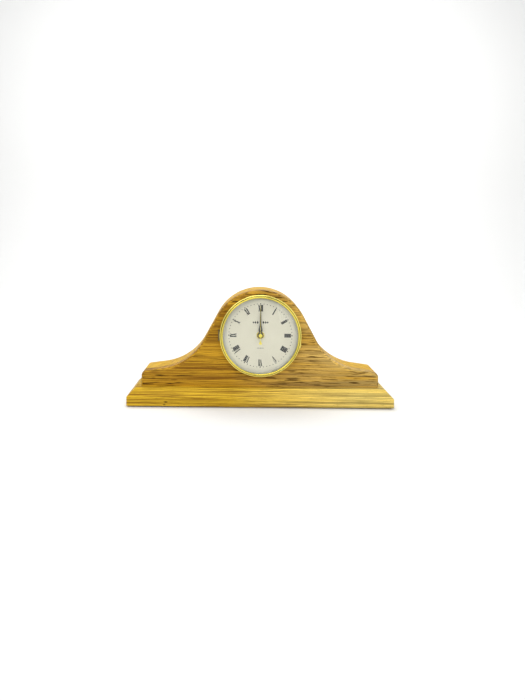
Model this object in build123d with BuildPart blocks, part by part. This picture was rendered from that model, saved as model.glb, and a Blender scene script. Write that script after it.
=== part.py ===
from build123d import *
import os
from math import cos, radians, sin, sqrt

os.makedirs("parts", exist_ok=True)

# Tambour mantel clock, in millimetres. +X runs along the base, +Y from front to back, +Z up.
# The origin is at the centre of the footprint, on the surface that the felt feet stand on.
# Depths are Y values: a more negative one is nearer to the viewer.

# ---- driving dimensions: base and case --------------------------------------------------
base_length = 417
base_depth = 84
base_height = 25.4
base_chamfer = 11.2
arris = 0.8
foot_height = 2
foot_radius = 9
foot_x = 181
foot_y = 27

board_thickness = 18
case_front = -22.5
case_half_width = 190.5
corner_height = 22.1
corner_radius = 7
valley_x = 112.8
valley_height = 32.8
valley_radius = 90.5
apex_height = 241.9
arch_radius = 79.1
front_edge_radius = 5
back_edge_chamfer = 1
bore_radius = 59

# ---- driving dimensions: dial, bezel and glass ------------------------------------------
dial_height = 110
sheet = 0.8
pan_radius = 63.8
pan_cup_radius = 58.4
pan_cup_depth = 8
dial_radius = 61.2

bezel_radius = 65
bezel_opening = 59.8
bezel_skirt = 0.7
outer_bead_width = 2.2
outer_bead_y = -29.2
inner_bead_y = -30.7
inner_bead_rise = 1.4
web_back = -28.6
seat_back = -26
glass_radius = 61.4
glass_rim_y = -29.8
glass_bulge = 5
glass_thickness = 1.8
gasket_back = -26.2
gasket_hole = 60.5
tab_angle = -14
tab_width = 7
tab_reach = 1.3
tab_thickness = 1.4
tab_front = -26

bezel_hinge_x = -66.4
bezel_hinge_y = -24.5
bezel_knuckle_radius = 1.2
bezel_pin_radius = 0.5
bezel_leaf_width = 6.9
bezel_leaf_height = 16
bezel_leaf_thickness = 0.6
moving_knuckle_height = 6

# ---- driving dimensions: movement -------------------------------------------------------
movement_width = 56
movement_front = -20.5
movement_depth = 15.8
movement_wall = 1
movement_corner = 3
bay_wall_low = -11.9
bay_wall_high = -10.4
battery_radius = 7.1
battery_z = -19.4
battery_y = -12.25

second_arbor_radius = 0.7
arbor_radius = 0.5
rotor_arbor_radius = 0.4
post_radius = 0.8
set_radius = 1.5
cannon_bore = 0.76
cannon_radius = 1.62
hour_bore = 1.68
hour_pipe_radius = 2.5
bushing_bore = 2.56
bushing_radius = 4
bushing_front = -26.5
running = 0.06
pivot_depth = 0.5
pivot_reach = 0.4

gear_thickness = 1
first_layer = -18.9
layer_pitch = 1.5
bridge_front = -13
bridge_thickness = 0.8
motion_x = 9.6
set_x = 19.2
third_x = -7.6368
third_z = 7.6368
intermediate_z = 9
rotor_x = 4.9497
rotor_z = 13.9497

# ---- driving dimensions: hands ----------------------------------------------------------
hand_thickness = 0.4
second_hand_thickness = 0.3
hour_hand_front = -27.2
hour_pipe_front = -27.25
minute_hand_front = -28.2
cannon_front = -28.25
second_hand_front = -29.1

# ---- driving dimensions: rear door ------------------------------------------------------
door_radius = 61.9
rebate_radius = 62.7
door_thickness = 6
rebate_depth = 6.5
door_hinge_x = 63
door_hinge_offset = 1.9
door_knuckle_radius = 1.7
door_pin_radius = 0.8
door_leaf_width = 13
door_leaf_height = 20
door_leaf_thickness = 1
door_leaf_offset = 1.7
door_middle_knuckle = 8
door_hinge_screw_z = (-6.5, 6.5)
hinge_screw_offset = 2
catch_x = -60.3
catch_radius = 1.15
catch_length = 4
knob_x = -46
knob_height = 10

# ---- derived places ---------------------------------------------------------------------
case_bottom = foot_height + base_height
case_back = case_front + 3 * board_thickness
pan_front = case_front - sheet
dial_front = pan_front - sheet
movement_back = movement_front + movement_depth
inner_front = movement_front + movement_wall
inner_back = movement_back - movement_wall
movement_half = movement_width / 2
bridge_back = bridge_front + bridge_thickness
door_front = case_back - door_thickness
dial_axis = Axis((0, 0, dial_height), (0, 1, 0))


def layer(number):
    """Depth of the front of gear layer 1 to 4, counted from the dial side."""
    return first_layer + (number - 1) * layer_pitch


second_layer_y = bridge_back + 0.4
intermediate_layer_y = second_layer_y + layer_pitch
magnet_y = intermediate_layer_y + gear_thickness + 0.4


def facing(y, x=0, z=0):
    """Plane parallel to the dial at depth y, with its origin x, z from the dial's centre."""
    return Plane(origin=(x, y, dial_height + z), x_dir=(1, 0, 0), z_dir=(0, -1, 0))


def finish(piece, name):
    """Label a finished piece and write its STEP file."""
    piece.part.label = name
    export_step(piece.part, f"parts/{name}.step")


def disc(front, back, radius, hole=0, x=0, z=0):
    """A washer, shaft or plate whose axis runs along Y, added to the open part."""
    with BuildSketch(facing(back, x, z)) as profile:
        Circle(radius)
        if hole:
            Circle(hole, mode=Mode.SUBTRACT)
    extrude(profile.sketch, amount=back - front)


def bore(front, back, radius, x=0, z=0):
    """A round hole along Y through the open part, from one depth to another."""
    with BuildSketch(facing(back, x, z)) as profile:
        Circle(radius)
    extrude(profile.sketch, amount=back - front, mode=Mode.SUBTRACT)


def upright_tube(radius, low, high, x, y):
    """A solid rod standing at x, y between two heights measured from the dial's centre."""
    with BuildSketch(Plane.XY.offset(dial_height + low)) as profile:
        with Locations((x, y)):
            Circle(radius)
    extrude(profile.sketch, amount=high - low)


def upright_bore(radius, low, high, x, y):
    """A vertical hole at x, y between two heights measured from the dial's centre."""
    with BuildSketch(Plane.XY.offset(dial_height + low)) as profile:
        with Locations((x, y)):
            Circle(radius)
    extrude(profile.sketch, amount=high - low, mode=Mode.SUBTRACT)


# ---- base and feet ----------------------------------------------------------------------
base_screw_x = (-150, -75, 75, 150)
base_screw_y = case_front + 1.5 * board_thickness
screw_shank = 1.8
screw_head = 3.6
screw_head_depth = screw_head - screw_shank
screw_reach = 14
screw_clearance = 0.1
slot_length = 3.2
slot_width = 0.7
slot_depth = 0.9


def screw_circles(height, radius):
    """One circle at each base screw, on a horizontal plane at the given height."""
    with BuildSketch(Plane.XY.offset(height)) as profile:
        with Locations([(x, base_screw_y) for x in base_screw_x]):
            Circle(radius)
    return profile.sketch


with BuildPart() as base_board:
    with Locations((0, 0, foot_height)):
        Box(base_length, base_depth, base_height, align=(Align.CENTER, Align.CENTER, Align.MIN))
    top_edges = base_board.faces().sort_by(Axis.Z)[-1].edges()
    back_edge = top_edges.sort_by(Axis.Y)[-1]
    chamfer([edge for edge in top_edges if edge != back_edge], length=base_chamfer)
    chamfer(base_board.edges().filter_by(Axis.X).group_by(Axis.Z)[0], length=arris)
    holes = screw_circles(foot_height, screw_shank + screw_clearance)
    extrude(holes, amount=base_height, mode=Mode.SUBTRACT)
    sinks = screw_circles(foot_height, screw_head + screw_clearance)
    extrude(sinks, amount=screw_head_depth, taper=45, mode=Mode.SUBTRACT)
finish(base_board, "base_board")

with BuildPart() as felt_feet:
    with BuildSketch():
        with GridLocations(2 * foot_x, 2 * foot_y, 2, 2):
            Circle(foot_radius)
    extrude(amount=foot_height)
    fillet(felt_feet.edges().group_by(Axis.Z)[0], radius=0.5)
finish(felt_feet, "felt_feet")

with BuildPart() as base_screws:
    extrude(screw_circles(foot_height, screw_head), amount=screw_head_depth, taper=45)
    shank_length = base_height + screw_reach - screw_head
    extrude(screw_circles(foot_height + screw_head_depth, screw_shank), amount=shank_length)
    with BuildSketch(Plane.XY.offset(foot_height)):
        with Locations([(x, base_screw_y) for x in base_screw_x]):
            Rectangle(slot_length, slot_width)
            Rectangle(slot_width, slot_length)
    extrude(amount=slot_depth, mode=Mode.SUBTRACT)
finish(base_screws, "base_screws")


# ---- case -------------------------------------------------------------------------------
leaf_x = bezel_hinge_x + bezel_leaf_width / 2
leaf_gap = 0.1
pan_screw_ring = 62.6
pan_screw_angles = (45, 135, 225, 315)
pan_screw_radius = 0.9
pilot_radius = 1
pilot_depth = 10


def case_board(front):
    """One of the boards glued face to face: a rounded hat outline, extruded backwards."""
    back = front + board_thickness
    with BuildSketch(Plane.XZ.offset(-back)) as profile:
        with BuildLine():
            Polyline(
                (-case_half_width, case_bottom),
                (case_half_width, case_bottom),
                (case_half_width, case_bottom + corner_height),
                (valley_x, case_bottom + valley_height),
                (0, case_bottom + apex_height),
                (-valley_x, case_bottom + valley_height),
                (-case_half_width, case_bottom + corner_height),
                close=True,
            )
        make_face()
        fillet(profile.vertices().group_by(Axis.Y)[3], radius=arch_radius)
        fillet(profile.vertices().group_by(Axis.Y)[2], radius=valley_radius)
        fillet(profile.vertices().group_by(Axis.Y)[1], radius=corner_radius)
    extrude(profile.sketch, amount=board_thickness)


with BuildPart() as case_front_board:
    case_board(case_front)
    front_edges = case_front_board.faces().sort_by(Axis.Y)[0].edges()
    bottom_edge = front_edges.sort_by(Axis.Z)[0]
    fillet([edge for edge in front_edges if edge != bottom_edge], radius=front_edge_radius)
    bore(case_front, case_front + board_thickness, bore_radius)
    with BuildSketch(facing(case_front + bezel_leaf_thickness + leaf_gap, leaf_x)):
        Rectangle(bezel_leaf_width + 4 * leaf_gap, bezel_leaf_height + 4 * leaf_gap)
    extrude(amount=bezel_leaf_thickness + leaf_gap, mode=Mode.SUBTRACT)
    with BuildSketch(facing(case_front + pilot_depth)):
        with PolarLocations(pan_screw_ring, len(pan_screw_angles), start_angle=45):
            Circle(pilot_radius)
    extrude(amount=pilot_depth, mode=Mode.SUBTRACT)
finish(case_front_board, "case_front_board")

with BuildPart() as case_middle_board:
    case_board(case_front + board_thickness)
    bore(case_front + board_thickness, case_front + 2 * board_thickness, bore_radius)
    holes = screw_circles(case_bottom, screw_shank + screw_clearance)
    extrude(holes, amount=screw_reach + 1, mode=Mode.SUBTRACT)
finish(case_middle_board, "case_middle_board")

door_hinge_y = case_back + door_hinge_offset
fixed_leaf_x = door_hinge_x + door_leaf_offset + door_leaf_width / 2
moving_leaf_x = door_hinge_x - door_leaf_offset - door_leaf_width / 2
fixed_leaf_screw_x = fixed_leaf_x + hinge_screw_offset
moving_leaf_screw_x = moving_leaf_x - hinge_screw_offset
small_screw_radius = 0.85
small_screw_length = 5.2
catch_bottom = case_back - rebate_depth - catch_length


def small_screw_holes(screw_x):
    """Blind pilot holes for the two screws of one door hinge leaf."""
    for screw_z in door_hinge_screw_z:
        bore(case_back - 5, case_back, small_screw_radius + 0.05, x=screw_x, z=screw_z)


with BuildPart() as case_rear_board:
    case_board(case_back - board_thickness)
    back_edges = case_rear_board.faces().sort_by(Axis.Y)[-1].edges()
    chamfer(back_edges, length=back_edge_chamfer)
    bore(case_back - board_thickness, case_back, bore_radius)
    bore(case_back - rebate_depth, case_back, rebate_radius)
    bore(catch_bottom, case_back - rebate_depth, catch_radius + 0.05, x=catch_x)
    small_screw_holes(fixed_leaf_screw_x)
finish(case_rear_board, "case_rear_board")

# ---- dial pan and dial ------------------------------------------------------------------
with BuildPart() as dial_pan:
    disc(pan_front, case_front, pan_radius)
    disc(case_front, case_front + pan_cup_depth, pan_cup_radius, hole=pan_cup_radius - sheet)
    bore(pan_front, case_front, bushing_radius + 0.1)
    with BuildSketch(facing(case_front)):
        with PolarLocations(pan_screw_ring, len(pan_screw_angles), start_angle=45):
            Circle(pan_screw_radius + 0.05)
    extrude(amount=sheet, mode=Mode.SUBTRACT)
finish(dial_pan, "dial_pan")

with BuildPart() as dial_pan_screws:
    for angle in pan_screw_angles:
        screw_x = pan_screw_ring * cos(radians(angle))
        screw_z = pan_screw_ring * sin(radians(angle))
        disc(pan_front, case_front + pilot_depth - 1, pan_screw_radius, x=screw_x, z=screw_z)
        disc(pan_front - 0.7, pan_front, pan_screw_radius + 0.35, x=screw_x, z=screw_z)
finish(dial_pan_screws, "dial_pan_screws")

with BuildPart() as dial_plate:
    disc(dial_front, pan_front, dial_radius, hole=bushing_radius + 0.1)
finish(dial_plate, "dial_plate")

# ---- bezel, glass and bezel hinge -------------------------------------------------------
skirt_back = case_front - 0.3
skirt_inside = bezel_radius - bezel_skirt
groove_radius = bezel_radius - outer_bead_width
web_edge = groove_radius - 0.1
seat_radius = glass_radius + 0.3
glass_sphere = (glass_radius**2 + glass_bulge**2) / (2 * glass_bulge)
glass_apex = glass_rim_y - glass_bulge
lip_clearance = 0.15


def glass_front(radius):
    """Depth of the glass's front surface at a distance from its centre."""
    return glass_apex + glass_sphere - sqrt(glass_sphere**2 - radius**2)


with BuildPart() as bezel_ring:
    with BuildSketch(Plane.XY.offset(dial_height)):
        with BuildLine():
            Polyline(
                (skirt_inside, skirt_back),
                (bezel_radius, skirt_back),
                (bezel_radius, outer_bead_y),
            )
            ThreePointArc(
                (bezel_radius, outer_bead_y),
                ((bezel_radius + groove_radius) / 2, outer_bead_y - outer_bead_width / 2),
                (groove_radius, outer_bead_y),
            )
            Line((groove_radius, outer_bead_y), (groove_radius, inner_bead_y))
            ThreePointArc(
                (groove_radius, inner_bead_y),
                ((groove_radius + bezel_opening) / 2, inner_bead_y - inner_bead_rise),
                (bezel_opening, inner_bead_y),
            )
            Polyline(
                (bezel_opening, inner_bead_y),
                (bezel_opening, glass_front(bezel_opening) - lip_clearance),
                (seat_radius, glass_front(seat_radius) - lip_clearance),
                (seat_radius, seat_back),
                (web_edge, seat_back),
                (web_edge, web_back),
                (skirt_inside, web_back),
                (skirt_inside, skirt_back),
            )
        make_face()
    revolve(axis=dial_axis)
    with BuildSketch(facing(tab_front + tab_thickness)):
        with PolarLocations(bezel_radius, 1, start_angle=tab_angle):
            RectangleRounded(2 * tab_reach, tab_width, 0.7)
    extrude(amount=tab_thickness)
    bore(tab_front, tab_front + tab_thickness, skirt_inside)
finish(bezel_ring, "bezel_ring")

with BuildPart() as crystal_glass:
    with BuildSketch(Plane.XY.offset(dial_height)):
        with BuildLine():
            halfway = glass_radius / 2
            front = ThreePointArc(
                (0, glass_apex),
                (halfway, glass_front(halfway)),
                (glass_radius, glass_rim_y),
            )
            back = ThreePointArc(
                (0, glass_apex + glass_thickness),
                (halfway, glass_front(halfway) + glass_thickness),
                (glass_radius, glass_rim_y + glass_thickness),
            )
            Line(front @ 1, back @ 1)
            Line(front @ 0, back @ 0)
        make_face()
    revolve(axis=dial_axis)
finish(crystal_glass, "crystal_glass")

with BuildPart() as glass_gasket:
    disc(glass_rim_y + glass_thickness, gasket_back, glass_radius + 0.2, hole=gasket_hole)
finish(glass_gasket, "glass_gasket")

end_knuckle_height = (bezel_leaf_height - moving_knuckle_height) / 2 - 0.15
knuckle_web = 0.8
tongue_thickness = 1.2

with BuildPart() as bezel_hinge_leaf:
    with BuildSketch(facing(case_front + bezel_leaf_thickness, leaf_x)):
        Rectangle(bezel_leaf_width, bezel_leaf_height)
    extrude(amount=bezel_leaf_thickness)
    for low in (-bezel_leaf_height / 2, bezel_leaf_height / 2 - end_knuckle_height):
        high = low + end_knuckle_height
        upright_tube(bezel_knuckle_radius, low, high, bezel_hinge_x, bezel_hinge_y)
        with BuildSketch(Plane.XY.offset(dial_height + low)):
            web_middle = (bezel_hinge_x + knuckle_web / 2, (bezel_hinge_y + case_front) / 2)
            with Locations(web_middle):
                Rectangle(knuckle_web, case_front - bezel_hinge_y)
        extrude(amount=end_knuckle_height)
    half = bezel_leaf_height / 2
    upright_bore(bezel_pin_radius, -half, half, bezel_hinge_x, bezel_hinge_y)
finish(bezel_hinge_leaf, "bezel_hinge_leaf")

with BuildPart() as bezel_hinge_knuckle:
    half = moving_knuckle_height / 2
    with BuildSketch(facing(bezel_hinge_y - 0.1, bezel_hinge_x + 1.5)):
        Rectangle(3, moving_knuckle_height)
    extrude(amount=tongue_thickness)
    bore(bezel_hinge_y - 2, bezel_hinge_y, bezel_radius)
    upright_tube(bezel_knuckle_radius, -half, half, bezel_hinge_x, bezel_hinge_y)
    upright_bore(bezel_pin_radius + 0.05, -half, half, bezel_hinge_x, bezel_hinge_y)
finish(bezel_hinge_knuckle, "bezel_hinge_knuckle")

with BuildPart() as bezel_hinge_pin:
    reach = bezel_leaf_height / 2 + 0.6
    upright_tube(bezel_pin_radius, -reach, reach, bezel_hinge_x, bezel_hinge_y)
    for low in (-reach - 0.3, reach - 0.3):
        upright_tube(bezel_pin_radius + 0.35, low, low + 0.6, bezel_hinge_x, bezel_hinge_y)
finish(bezel_hinge_pin, "bezel_hinge_pin")

# ---- rear door --------------------------------------------------------------------------
knob_screw_radius = 1

with BuildPart() as rear_door:
    disc(door_front, case_back, door_radius)
    fillet(rear_door.faces().sort_by(Axis.Y)[-1].edges(), radius=1)
    bore(door_front, door_front + 1, catch_radius + 0.05, x=catch_x)
    bore(door_front, case_back, knob_screw_radius + 0.1, x=knob_x)
    small_screw_holes(moving_leaf_screw_x)
finish(rear_door, "rear_door")

knob_foot = knob_x + 4
knob_neck = knob_x + 3.4
knob_waist_y = case_back + 2.5

with BuildPart() as door_knob:
    with BuildSketch(Plane.XY.offset(dial_height)):
        with BuildLine():
            Polyline(
                (knob_x, case_back + knob_height),
                (knob_x, case_back),
                (knob_foot, case_back),
                (knob_neck, knob_waist_y),
            )
            Spline(
                (knob_neck, knob_waist_y),
                (knob_x + 5.8, case_back + 0.65 * knob_height),
                (knob_x + 2.6, case_back + 0.96 * knob_height),
                (knob_x, case_back + knob_height),
                tangents=((-0.3, 1), (-1, 0)),
            )
        make_face()
    revolve(axis=Axis((knob_x, 0, dial_height), (0, 1, 0)))
    bore(case_back, case_back + 0.7 * knob_height, knob_screw_radius, x=knob_x)
finish(door_knob, "door_knob")

with BuildPart() as door_knob_screw:
    disc(door_front, case_back + 0.65 * knob_height, knob_screw_radius, x=knob_x)
    disc(door_front - 1.2, door_front, 2.2 * knob_screw_radius, x=knob_x)
    with BuildSketch(facing(door_front - 0.7, knob_x)):
        Rectangle(0.6, 5)
    extrude(amount=0.5, mode=Mode.SUBTRACT)
finish(door_knob_screw, "door_knob_screw")

door_end_knuckle = (door_leaf_height - door_middle_knuckle) / 2 - 0.15
door_web = 1.6


def door_leaf(centre_x, screw_x, knuckles):
    """A surface-mounted butt hinge leaf with the given (low, height) knuckles."""
    with BuildSketch(facing(case_back + door_leaf_thickness, centre_x)) as profile:
        RectangleRounded(door_leaf_width, door_leaf_height, 0.8)
    extrude(profile.sketch, amount=door_leaf_thickness)
    for low, height in knuckles:
        upright_tube(door_knuckle_radius, low, low + height, door_hinge_x, door_hinge_y)
    toward = 1 if centre_x > door_hinge_x else -1
    web_x = door_hinge_x + toward * 0.75 * door_web
    for low, height in knuckles:
        with BuildSketch(Plane.XY.offset(dial_height + low)) as profile:
            with Locations((web_x, case_back + door_leaf_thickness / 2 + 0.1)):
                Rectangle(door_web, door_leaf_thickness)
        extrude(profile.sketch, amount=height)
    for screw_z in door_hinge_screw_z:
        bore(case_back, case_back + door_leaf_thickness, small_screw_radius + 0.1,
             x=screw_x, z=screw_z)


half_leaf = door_leaf_height / 2
end_knuckles = [(-half_leaf, door_end_knuckle), (half_leaf - door_end_knuckle, door_end_knuckle)]
middle_knuckle = [(-door_middle_knuckle / 2, door_middle_knuckle)]

with BuildPart() as door_hinge_leaf_fixed:
    door_leaf(fixed_leaf_x, fixed_leaf_screw_x, end_knuckles)
    upright_bore(door_pin_radius, -half_leaf, half_leaf, door_hinge_x, door_hinge_y)
finish(door_hinge_leaf_fixed, "door_hinge_leaf_fixed")

with BuildPart() as door_hinge_leaf_moving:
    door_leaf(moving_leaf_x, moving_leaf_screw_x, middle_knuckle)
    upright_bore(door_pin_radius + 0.05, -half_leaf, half_leaf, door_hinge_x, door_hinge_y)
finish(door_hinge_leaf_moving, "door_hinge_leaf_moving")

with BuildPart() as door_hinge_pin:
    reach = half_leaf + 0.6
    upright_tube(door_pin_radius, -reach, reach, door_hinge_x, door_hinge_y)
    for low in (-reach - 0.4, reach - 0.5):
        upright_tube(door_pin_radius + 0.5, low, low + 0.9, door_hinge_x, door_hinge_y)
finish(door_hinge_pin, "door_hinge_pin")


def hinge_screws(screw_x):
    """Two small round-headed screws through one door hinge leaf."""
    outside = case_back + door_leaf_thickness
    for screw_z in door_hinge_screw_z:
        disc(outside - small_screw_length, outside, small_screw_radius, x=screw_x, z=screw_z)
        disc(outside, outside + 0.7, 2 * small_screw_radius, x=screw_x, z=screw_z)
        with BuildSketch(facing(outside + 0.7, screw_x, screw_z)) as profile:
            Rectangle(0.5, 5 * small_screw_radius)
        extrude(profile.sketch, amount=0.35, mode=Mode.SUBTRACT)


with BuildPart() as door_hinge_screws_fixed:
    hinge_screws(fixed_leaf_screw_x)
finish(door_hinge_screws_fixed, "door_hinge_screws_fixed")

with BuildPart() as door_hinge_screws_moving:
    hinge_screws(moving_leaf_screw_x)
finish(door_hinge_screws_moving, "door_hinge_screws_moving")

with BuildPart() as catch_magnet:
    disc(catch_bottom, door_front - 0.2, catch_radius, x=catch_x)
finish(catch_magnet, "catch_magnet")

with BuildPart() as catch_strike:
    disc(door_front, door_front + 1, catch_radius, x=catch_x)
finish(catch_strike, "catch_strike")

# ---- movement housing -------------------------------------------------------------------
inner_width = movement_width - 2 * movement_wall
bay_height = bay_wall_low + movement_half - movement_wall
bay_middle_z = bay_wall_low - bay_height / 2
train_height = movement_half - movement_wall - bay_wall_high
train_middle_z = bay_wall_high + train_height / 2
inner_corner = 2
board_front = -18.6
circuit_thickness = 0.8
board_back = board_front + circuit_thickness
board_posts = ((15, 24), (24, 11))
board_post_radius = 1.2

with BuildPart() as movement_case:
    with BuildSketch(facing(movement_back)):
        RectangleRounded(movement_width, movement_width, movement_corner)
    extrude(amount=movement_depth)
    with BuildSketch(facing(movement_back)):
        with Locations((0, bay_middle_z)):
            RectangleRounded(inner_width, bay_height, inner_corner)
        with Locations((0, train_middle_z)):
            RectangleRounded(inner_width, train_height, inner_corner)
    extrude(amount=movement_back - inner_front, mode=Mode.SUBTRACT)
    disc(inner_front, layer(3) - 0.2, post_radius, x=motion_x)
    for post_x, post_z in board_posts:
        disc(inner_front, board_front, board_post_radius, x=post_x, z=post_z)
    bore(movement_front, inner_front, bushing_radius + 0.05)
    third_pivot = arbor_radius + running
    bore(inner_front - pivot_depth, inner_front, third_pivot, x=third_x, z=third_z)
    bore(inner_front - 0.6, inner_front, set_radius + running, x=set_x)
finish(movement_case, "movement_case")


def train_bores(front, back):
    """Pivot holes of the second, intermediate and rotor arbors."""
    bore(front, back, second_arbor_radius + running)
    bore(front, back, arbor_radius + running, z=intermediate_z)
    bore(front, back, rotor_arbor_radius + running, x=rotor_x, z=rotor_z)


with BuildPart() as movement_cover:
    with BuildSketch(facing(movement_back, z=train_middle_z)):
        RectangleRounded(inner_width, train_height, inner_corner)
    extrude(amount=movement_wall)
    bore(inner_back, movement_back, set_radius + running, x=set_x)
    train_bores(inner_back, inner_back + pivot_depth + 0.1)
finish(movement_cover, "movement_cover")

with BuildPart() as threaded_bushing:
    disc(bushing_front, inner_front, bushing_radius, hole=bushing_bore)
    disc(inner_front, inner_front + 0.4, bushing_radius + 1.5, hole=bushing_bore)
finish(threaded_bushing, "threaded_bushing")

with BuildPart() as rubber_washer:
    disc(case_front, movement_front, 2 * bushing_radius, hole=bushing_radius + 0.2)
finish(rubber_washer, "rubber_washer")

washer_front = dial_front - 0.5
nut_height = 1.6
with BuildPart() as brass_washer:
    disc(washer_front, dial_front, bushing_radius + 2.3, hole=bushing_radius + 0.15)
finish(brass_washer, "brass_washer")

with BuildPart() as hex_nut:
    with BuildSketch(facing(washer_front)):
        RegularPolygon(bushing_radius + 2.1, 6)
        Circle(bushing_radius + 0.05, mode=Mode.SUBTRACT)
    extrude(amount=nut_height)
    chamfer(hex_nut.faces().sort_by(Axis.Y)[0].outer_wire().edges(), length=0.3)
finish(hex_nut, "hex_nut")

bridge_x = -5
bridge_z = 4.75
bridge_pillars = ((-20.5, -6.5), (-20.5, 16), (9.5, 13.5))
with BuildPart() as train_bridge:
    with BuildSketch(facing(bridge_back, bridge_x, bridge_z)):
        RectangleRounded(34, 25.5, 2)
    extrude(amount=bridge_thickness)
    for pillar_x, pillar_z in bridge_pillars:
        disc(inner_front, bridge_front, 1.4, x=pillar_x, z=pillar_z)
    bore(bridge_front, bridge_back, arbor_radius + running, x=third_x, z=third_z)
    train_bores(bridge_front, bridge_back)
finish(train_bridge, "train_bridge")

# ---- electrics --------------------------------------------------------------------------
with BuildPart() as circuit_board:
    with BuildSketch(facing(board_back, 19.5, 17.5)):
        RectangleRounded(13, 17, 0.8)
    extrude(amount=circuit_thickness)
finish(circuit_board, "circuit_board")

crystal_radius = 1
with BuildPart() as quartz_crystal:
    with BuildSketch(Plane.XY.offset(dial_height + 11.5)):
        with Locations((16, board_back + crystal_radius)):
            Circle(crystal_radius)
    extrude(amount=6)
    fillet(quartz_crystal.faces().sort_by(Axis.Z)[-1].edges(), radius=0.4)
finish(quartz_crystal, "quartz_crystal")

chip_height = 1.2
with BuildPart() as driver_chip:
    with BuildSketch(facing(board_back + chip_height, 21, 21)):
        Rectangle(5, 5)
    extrude(amount=chip_height)
    chamfer(driver_chip.faces().sort_by(Axis.Y)[-1].edges(), length=0.3)
finish(driver_chip, "driver_chip")

stator_front = magnet_y + 0.2
stator_thickness = 1.4
stator_half = 12.5
stator_leg = 3
stator_hole = 3.1
stator_height = 14
stator_gap_height = 7
core_thickness = 1.3
core_height = 2.4
core_y = stator_front - core_thickness / 2
core_z = 22.2
coil_half = 8
coil_inner = 2
coil_outer = 2.9
flange_radius = 3.2
flange_thickness = 0.8

with BuildPart() as stator:
    stator_low = -stator_height / 2 + 3.25
    with BuildSketch(facing(stator_front + stator_thickness, rotor_x, rotor_z)):
        with Locations((0, stator_low + stator_height / 2)):
            Rectangle(2 * stator_half, stator_height)
        with Locations((0, stator_low + stator_height - 0.5 + (1 - stator_gap_height) / 2)):
            Rectangle(2 * (stator_half - stator_leg), stator_gap_height, mode=Mode.SUBTRACT)
        Circle(stator_hole, mode=Mode.SUBTRACT)
    extrude(amount=stator_thickness)
finish(stator, "stator")

with BuildPart() as coil_core:
    with BuildSketch(facing(stator_front, rotor_x, core_z)):
        Rectangle(2 * stator_half - 1, core_height)
    extrude(amount=core_thickness)
finish(coil_core, "coil_core")


def coil_rod(start, length, radius, hole=0):
    """A round length of the coil, along X, from a distance beside the rotor's arbor."""
    with BuildSketch(Plane.YZ.offset(rotor_x + start)) as profile:
        with Locations((core_y, dial_height + core_z)):
            Circle(radius)
            if hole:
                Circle(hole, mode=Mode.SUBTRACT)
    extrude(profile.sketch, amount=length)


with BuildPart() as coil_bobbin:
    coil_rod(-coil_half, 2 * coil_half, coil_inner)
    coil_rod(-coil_half - flange_thickness, flange_thickness, flange_radius)
    coil_rod(coil_half, flange_thickness, flange_radius)
    with BuildSketch(Plane.YZ.offset(rotor_x - coil_half - flange_thickness)):
        with Locations((core_y, dial_height + core_z)):
            Rectangle(core_thickness + 0.1, core_height + 0.1)
    extrude(amount=2 * (coil_half + flange_thickness), mode=Mode.SUBTRACT)
finish(coil_bobbin, "coil_bobbin")

with BuildPart() as coil_winding:
    coil_rod(-coil_half, 2 * coil_half, coil_outer, hole=coil_inner + 0.02)
finish(coil_winding, "coil_winding")

battery_left = -23.7
battery_right = 25.5
button_radius = 2.7
button_height = 1
contact_thickness = 0.4
contact_size = (9, 10)


def battery_section(x):
    """A section plane across the cell at x, with its origin on the cell's axis."""
    return Plane(
        origin=(x, battery_y, dial_height + battery_z), x_dir=(0, 1, 0), z_dir=(1, 0, 0)
    )


with BuildPart() as battery_cell:
    with BuildSketch(battery_section(battery_left)):
        Circle(battery_radius)
    extrude(amount=battery_right - battery_left)
    fillet(battery_cell.edges().filter_by(GeomType.CIRCLE), radius=0.5)
    with BuildSketch(battery_section(battery_right)):
        Circle(button_radius)
    extrude(amount=button_height)
finish(battery_cell, "battery_cell")

with BuildPart() as battery_positive_contact:
    with BuildSketch(battery_section(battery_right + button_height)):
        RectangleRounded(*contact_size, 1)
    extrude(amount=contact_thickness)
finish(battery_positive_contact, "battery_positive_contact")

spring_radius = 3
spring_wire = 0.3
spring_start = -movement_half + movement_wall
with BuildPart() as battery_negative_spring:
    with BuildSketch(battery_section(spring_start)):
        RectangleRounded(*contact_size, 1)
    extrude(amount=contact_thickness)
    with BuildLine():
        coil = Helix(
            pitch=0.95,
            height=2.1,
            radius=spring_radius,
            center=(spring_start + 0.65, battery_y, dial_height + battery_z),
            direction=(1, 0, 0),
        )
    with BuildSketch(coil ^ 0):
        Circle(spring_wire)
    sweep(is_frenet=True)
finish(battery_negative_spring, "battery_negative_spring")

# ---- wheels and pinions -----------------------------------------------------------------
second_pinion_teeth = 8
third_wheel_teeth = 60
third_pinion_teeth = 8
center_wheel_teeth = 64
second_wheel_teeth = 50
intermediate_pinion_teeth = 10
intermediate_wheel_teeth = 48
rotor_pinion_teeth = 8
cannon_teeth = 12
motion_wheel_teeth = 36
motion_pinion_teeth = 10
hour_wheel_teeth = 40
set_pinion_teeth = 12
third_distance = sqrt(third_x**2 + third_z**2)
rotor_distance = sqrt(rotor_x**2 + (rotor_z - intermediate_z) ** 2)


def module_of(distance, teeth_a, teeth_b):
    """Module that puts two wheels in mesh at a given distance between their arbors."""
    return 2 * distance / (teeth_a + teeth_b)


def meshed_phase(teeth_a, phase_a, direction, teeth_b):
    """Angle of one tooth of wheel b, which lies from wheel a in the given direction."""
    pitch_a = 360 / teeth_a
    pitch_b = 360 / teeth_b
    past_tooth = ((direction - phase_a) / pitch_a) % 1
    return direction + 180 - pitch_b * (0.5 - past_tooth)


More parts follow.
